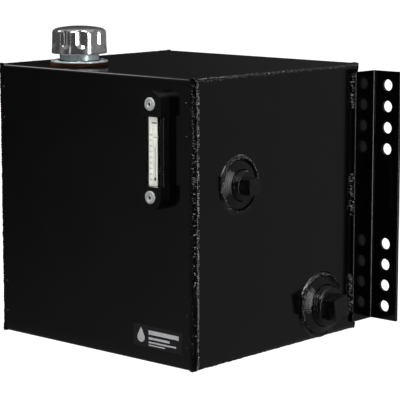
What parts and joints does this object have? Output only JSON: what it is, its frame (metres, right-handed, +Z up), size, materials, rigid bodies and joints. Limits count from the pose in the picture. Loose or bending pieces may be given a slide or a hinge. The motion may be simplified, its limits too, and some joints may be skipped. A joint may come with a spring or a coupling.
{
  "type": "hydraulic reservoir",
  "caption": "Side-mount steel fluid reservoir: a welded box with a filler-breather cap, a level and temperature gauge, plugged pipe ports and drilled mounting angles.",
  "frame": {"origin": "centre of the tank's base face, which the part stands on", "axes": "+Z up, -Y to the front wall with the level gauge, +X to the side wall with the two large ports, +Y to the back, where the mounting angles' bolting faces are"},
  "size_m": [0.4936, 0.4178, 0.457],
  "materials": {
    "black_paint": "gloss black powder coat over steel sheet",
    "weld_paint": "rippled weld bead under the same black coat",
    "black_iron": "black-oxide malleable iron",
    "zinc": "bright zinc plate",
    "chrome": "polished chrome plate",
    "cork": "bonded cork gasket, brown",
    "rubber": "moulded nitrile rubber",
    "filter_felt": "pleated paper and foam",
    "black_plastic": "satin black moulding",
    "clear_plastic": "clear moulded plastic",
    "white_scale": "cream printed scale",
    "label_film": "dark vinyl film with a plain white print"
  },
  "bodies": {
    "tank": {"tank_wrapper": "black_paint", "side_plate_right": "black_paint", "side_plate_left": "black_paint", "baffle_plate": "black_paint", "corner_weld_right": "weld_paint", "corner_weld_left": "weld_paint", "rear_seam_weld": "weld_paint", "bracket_right": "black_paint", "bracket_left": "black_paint", "bracket_weld_right_1": "weld_paint", "bracket_weld_left_1": "weld_paint", "bracket_weld_right_2": "weld_paint", "bracket_weld_left_2": "weld_paint", "bracket_weld_right_3": "weld_paint", "bracket_weld_left_3": "weld_paint", "return_bung": "black_paint", "return_bung_weld": "weld_paint", "suction_bung": "black_paint", "suction_bung_weld": "weld_paint", "drain_bung": "black_paint", "drain_bung_weld": "weld_paint", "filler_gasket_lower": "cork", "strainer_basket": "zinc", "filler_gasket_upper": "cork", "filler_neck": "zinc", "filler_screw_1": "zinc", "filler_screw_2": "zinc", "filler_screw_3": "zinc", "filler_screw_4": "zinc", "filler_screw_5": "zinc", "filler_screw_6": "zinc", "gauge_housing": "black_plastic", "gauge_cap_upper": "black_plastic", "gauge_cap_lower": "black_plastic", "gauge_tube": "clear_plastic", "gauge_scale_plate": "white_scale", "gauge_thermometer": "clear_plastic", "gauge_bolt_upper": "zinc", "gauge_seal_upper": "rubber", "gauge_nut_upper": "zinc", "gauge_bolt_lower": "zinc", "gauge_seal_lower": "rubber", "gauge_nut_lower": "zinc", "data_label": "label_film"},
    "cap_seal": {"cap_seal": "rubber"},
    "filler_cap": {"cap_shell": "chrome", "cap_lock_plate": "zinc", "breather_element": "filter_felt", "cap_stud": "zinc"},
    "return_plug": {"return_plug": "black_iron"},
    "suction_plug": {"suction_plug": "black_iron"},
    "drain_plug": {"drain_plug": "black_iron"}
  },
  "joints": [
    {"name": "cap_lift", "type": "slide", "parent": "tank", "child": "cap_seal", "axis": [0, 0, 1], "range_m": [0, 0.1]},
    {"name": "cap_turn", "type": "hinge", "parent": "cap_seal", "child": "filler_cap", "pos_m": [-0.082, -0.124, 0.4], "axis": [0, 0, 1], "range_deg": [0, 60]},
    {"name": "return_plug_out", "type": "slide", "parent": "tank", "child": "return_plug", "axis": [1, 0, 0], "range_m": [0, 0.06]},
    {"name": "suction_plug_out", "type": "slide", "parent": "tank", "child": "suction_plug", "axis": [1, 0, 0], "range_m": [0, 0.07]},
    {"name": "drain_plug_out", "type": "slide", "parent": "tank", "child": "drain_plug", "axis": [-1, 0, 0], "range_m": [0, 0.05]}
  ]
}
